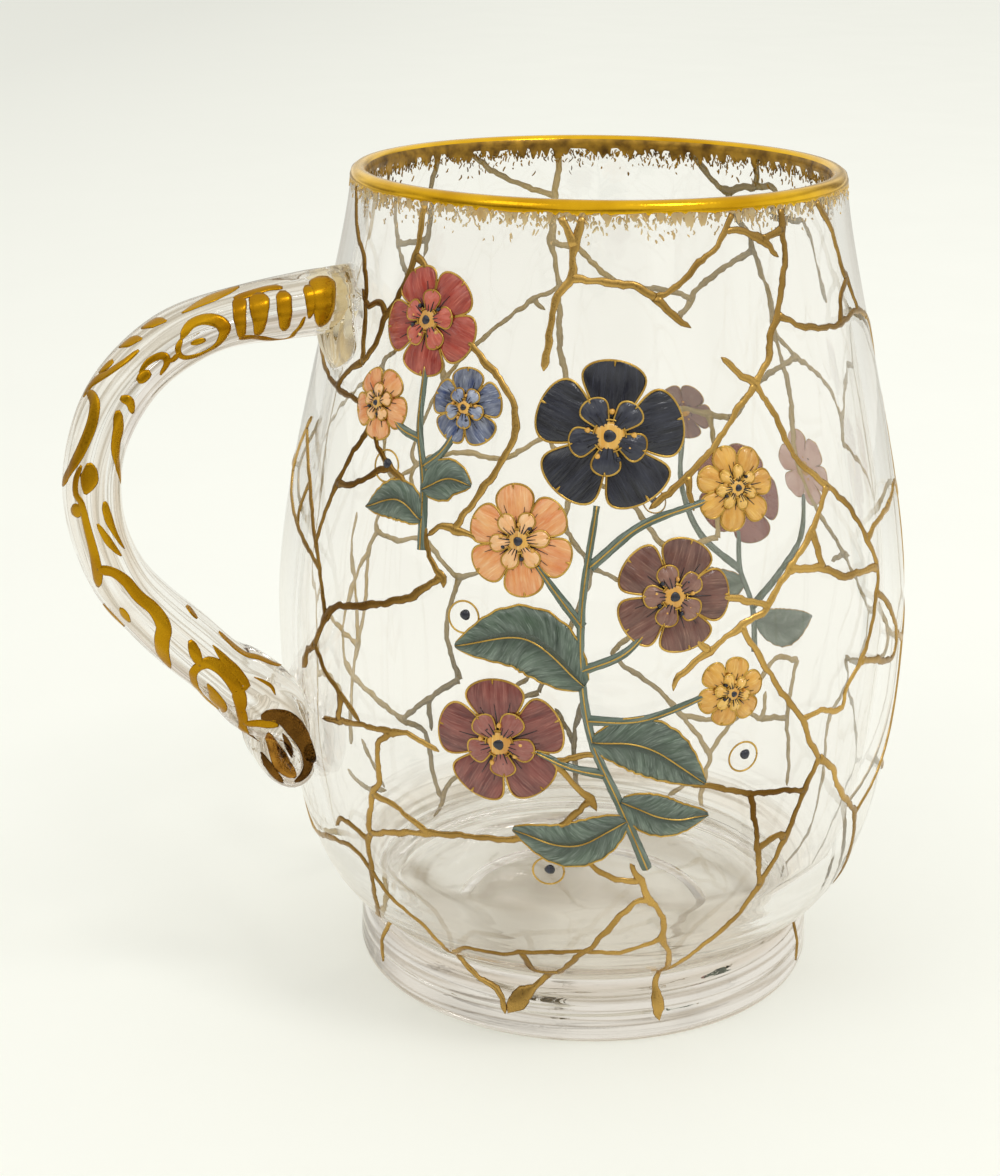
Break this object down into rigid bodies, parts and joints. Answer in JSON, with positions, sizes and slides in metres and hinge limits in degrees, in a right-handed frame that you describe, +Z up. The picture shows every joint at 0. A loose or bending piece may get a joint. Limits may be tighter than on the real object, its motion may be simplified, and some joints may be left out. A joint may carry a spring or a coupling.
{
  "type": "glass mug",
  "caption": "Clear barrel-shaped glass mug on a thick foot, with a looped handle ending in a curl, gilt rim and crackle veins, and enamelled flower sprays.",
  "frame": {"origin": "centre of the flat underside of the foot, on the bowl's axis", "axes": "+Z up along the bowl's axis, -X towards the handle, -Y towards the side with the large spray"},
  "size_m": [0.1295, 0.0978, 0.125],
  "materials": {
    "clear_glass": "clear, fire polished, faintly warm",
    "rim_gold": "burnished gilding",
    "vein_gold": "fired gilding, satin",
    "enamel_green": "grey-green enamel in brushed strokes",
    "enamel_dark": "glossy blue-black enamel",
    "enamel_peach": "orange and peach enamel",
    "enamel_brown": "brown enamel",
    "enamel_maroon": "red-brown enamel",
    "enamel_ochre": "ochre-yellow enamel",
    "enamel_red": "brick-red enamel",
    "enamel_blue": "navy enamel",
    "enamel_pink": "dusty pink enamel"
  },
  "bodies": {
    "root": {"foot": "clear_glass", "bowl": "clear_glass", "handle": "clear_glass", "rim_gilding": "rim_gold", "gilt_veins_left": "vein_gold", "gilt_veins_lower": "vein_gold", "gilt_veins_upper": "vein_gold", "gilt_veins_right": "vein_gold", "gilt_veins_side": "vein_gold", "gilt_veins_back": "vein_gold", "front_spray_foliage": "enamel_green", "left_spray_foliage": "enamel_green", "back_spray_foliage": "enamel_green", "front_spray_dark_bloom": "enamel_dark", "front_spray_peach_bloom": "enamel_peach", "front_spray_brown_bloom": "enamel_brown", "front_spray_maroon_bloom": "enamel_maroon", "front_spray_gold_bloom": "enamel_ochre", "front_spray_yellow_bloom": "enamel_ochre", "left_spray_red_bloom": "enamel_red", "left_spray_blue_bloom": "enamel_blue", "left_spray_peach_bloom": "enamel_peach", "back_spray_maroon_bloom": "enamel_maroon", "back_spray_pink_bloom": "enamel_pink", "back_spray_brown_bloom": "enamel_brown", "gilt_patch_front": "vein_gold", "gilt_loops_front": "vein_gold", "gilt_oval_front": "vein_gold", "gilt_hook_front": "vein_gold", "gilt_outer_line_front": "vein_gold", "gilt_long_scroll_front": "vein_gold", "gilt_lower_scroll_front": "vein_gold"}
  },
  "joints": []
}
